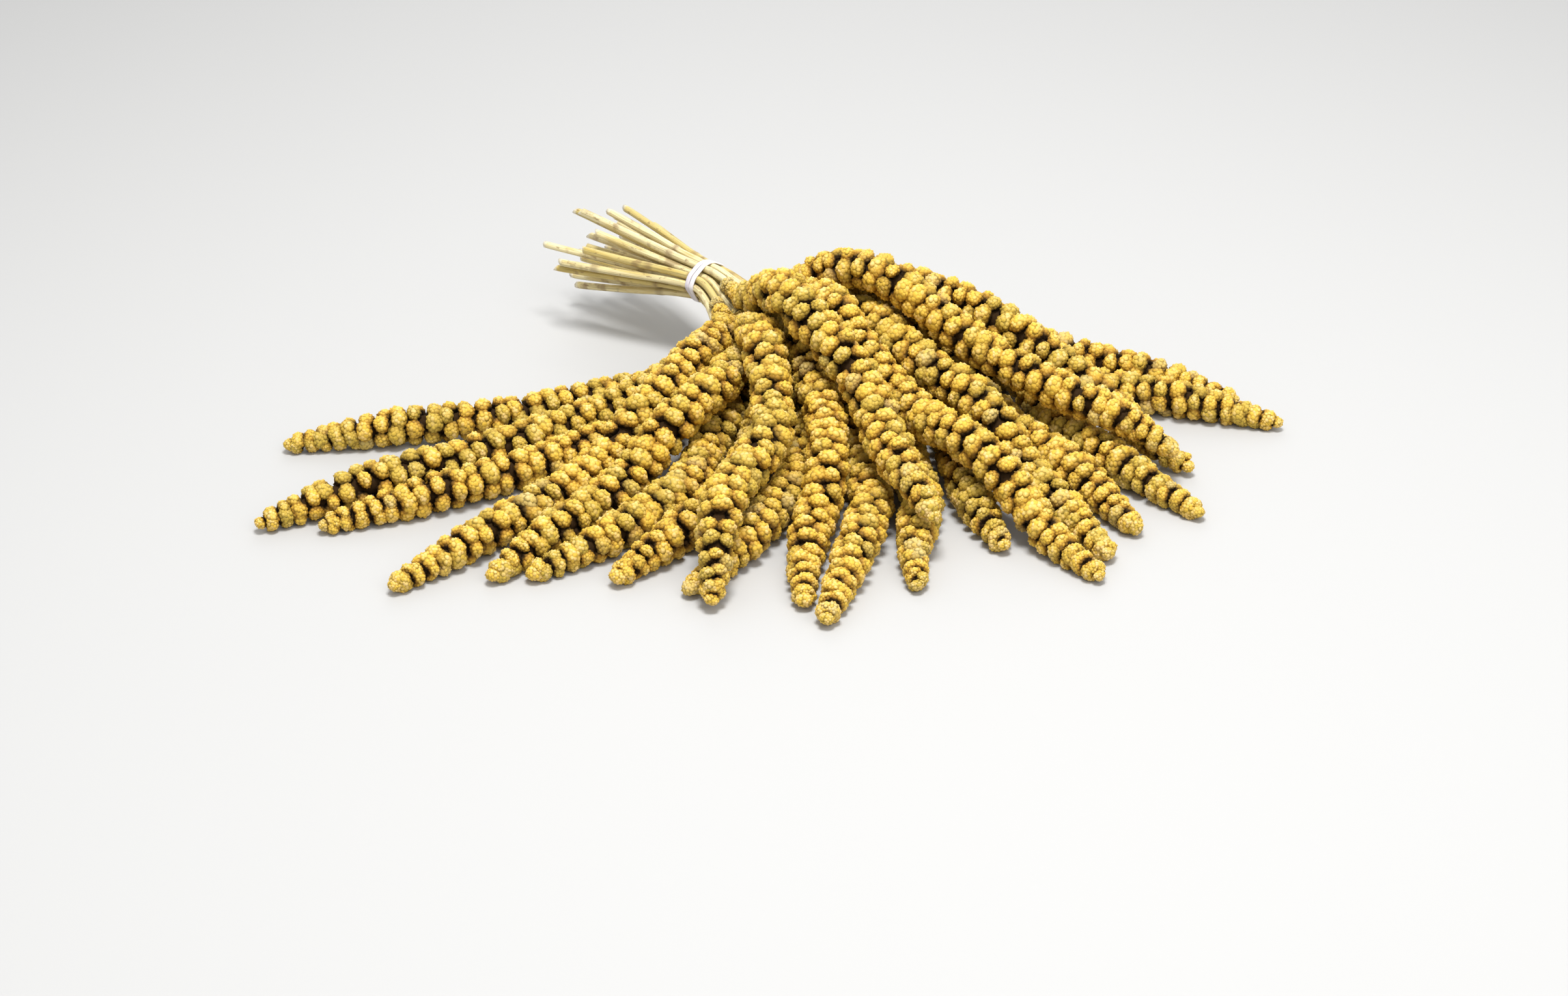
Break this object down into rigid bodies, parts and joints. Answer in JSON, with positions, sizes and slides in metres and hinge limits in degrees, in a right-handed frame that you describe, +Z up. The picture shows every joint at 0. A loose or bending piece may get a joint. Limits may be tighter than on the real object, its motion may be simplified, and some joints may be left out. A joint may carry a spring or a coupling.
{
  "type": "tied bunch of foxtail millet heads",
  "caption": "Dried foxtail millet heads on straw stalks, tied near their bases with a narrow pale band and laid down with the heads fanned out.",
  "frame": {"origin": "under the middle of the bunch's footprint, on the surface that it lies on", "axes": "+X runs along the tied bundle of stalks, from the cut ends through the tie to the heads, which fan out to both sides and mostly towards -Y. +Z is up, away from the surface."},
  "size_m": [0.5104, 0.4998, 0.0977],
  "materials": {
    "millet_heads": "dry golden tan seed clusters, matt with a faint sheen on each seed",
    "straw_stalks": "dry pale straw, fine lengthwise ribs, satin",
    "tie_band": "soft white band, satin"
  },
  "bodies": {
    "root": {"head_01": "millet_heads", "head_02": "millet_heads", "head_03": "millet_heads", "head_04": "millet_heads", "head_05": "millet_heads", "head_06": "millet_heads", "head_07": "millet_heads", "head_08": "millet_heads", "head_09": "millet_heads", "head_10": "millet_heads", "head_11": "millet_heads", "head_12": "millet_heads", "head_13": "millet_heads", "head_14": "millet_heads", "head_15": "millet_heads", "head_16": "millet_heads", "head_17": "millet_heads", "head_18": "millet_heads", "head_19": "millet_heads", "head_20": "millet_heads", "head_21": "millet_heads", "head_22": "millet_heads", "stalk_01": "straw_stalks", "stalk_02": "straw_stalks", "stalk_03": "straw_stalks", "stalk_04": "straw_stalks", "stalk_05": "straw_stalks", "stalk_06": "straw_stalks", "stalk_07": "straw_stalks", "stalk_08": "straw_stalks", "stalk_09": "straw_stalks", "stalk_10": "straw_stalks", "stalk_11": "straw_stalks", "stalk_12": "straw_stalks", "stalk_13": "straw_stalks", "stalk_14": "straw_stalks", "stalk_15": "straw_stalks", "stalk_16": "straw_stalks", "stalk_17": "straw_stalks", "stalk_18": "straw_stalks", "stalk_19": "straw_stalks", "stalk_20": "straw_stalks", "stalk_21": "straw_stalks", "stalk_22": "straw_stalks", "tie": "tie_band"}
  },
  "joints": []
}
